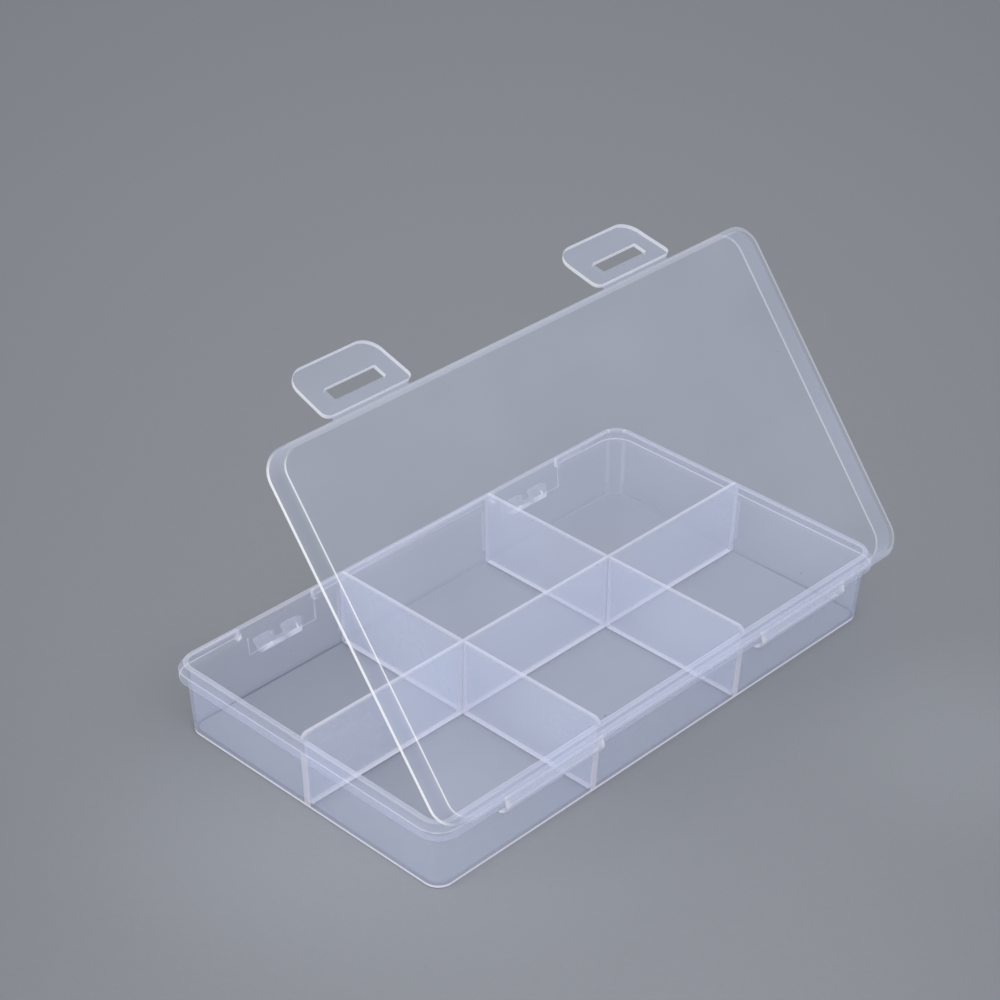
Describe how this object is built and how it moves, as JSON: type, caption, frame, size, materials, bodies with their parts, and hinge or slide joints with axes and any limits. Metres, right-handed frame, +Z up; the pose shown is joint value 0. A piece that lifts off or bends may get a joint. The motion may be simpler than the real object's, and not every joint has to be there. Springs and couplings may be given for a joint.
{
  "type": "compartment storage case",
  "caption": "Flat translucent plastic case with moulded compartments, a lid on living hinges and snap latch tabs that hook over catches on the front wall.",
  "frame": {"origin": "centre of the tray's underside, on the surface that the case stands on", "axes": "+Z up, +X along the long side, latches towards -Y and hinge towards +Y; left is -X"},
  "size_m": [0.175, 0.1072, 0.1076],
  "materials": {
    "milky_polypropylene": "milky translucent, moulded, satin gloss"
  },
  "bodies": {
    "tray": {"tray_shell": "milky_polypropylene", "long_divider": "milky_polypropylene", "left_front_divider": "milky_polypropylene", "left_rear_divider": "milky_polypropylene", "left_catch": "milky_polypropylene", "left_hinge_tray_leaf": "milky_polypropylene", "right_front_divider": "milky_polypropylene", "right_rear_divider": "milky_polypropylene", "right_catch": "milky_polypropylene", "right_hinge_tray_leaf": "milky_polypropylene"},
    "lid": {"lid_shell": "milky_polypropylene", "left_hinge_lid_leaf": "milky_polypropylene", "left_latch_web": "milky_polypropylene", "right_hinge_lid_leaf": "milky_polypropylene", "right_latch_web": "milky_polypropylene"},
    "left_latch": {"left_latch_tab": "milky_polypropylene"},
    "right_latch": {"right_latch_tab": "milky_polypropylene"}
  },
  "joints": [
    {"name": "lid_hinge", "type": "hinge", "parent": "tray", "child": "lid", "pos_m": [0, 0.052, 0.0201], "axis": [-1, 0, 0], "range_deg": [-51.7, 128.3]},
    {"name": "left_latch_hinge", "type": "hinge", "parent": "lid", "child": "left_latch", "pos_m": [-0.0473, -0.01098, 0.10097], "axis": [1, 0, 0], "range_deg": [-67.9, 54.1]},
    {"name": "right_latch_hinge", "type": "hinge", "parent": "lid", "child": "right_latch", "pos_m": [0.0501, -0.01098, 0.10097], "axis": [1, 0, 0], "range_deg": [-61.8, 60.2]}
  ]
}
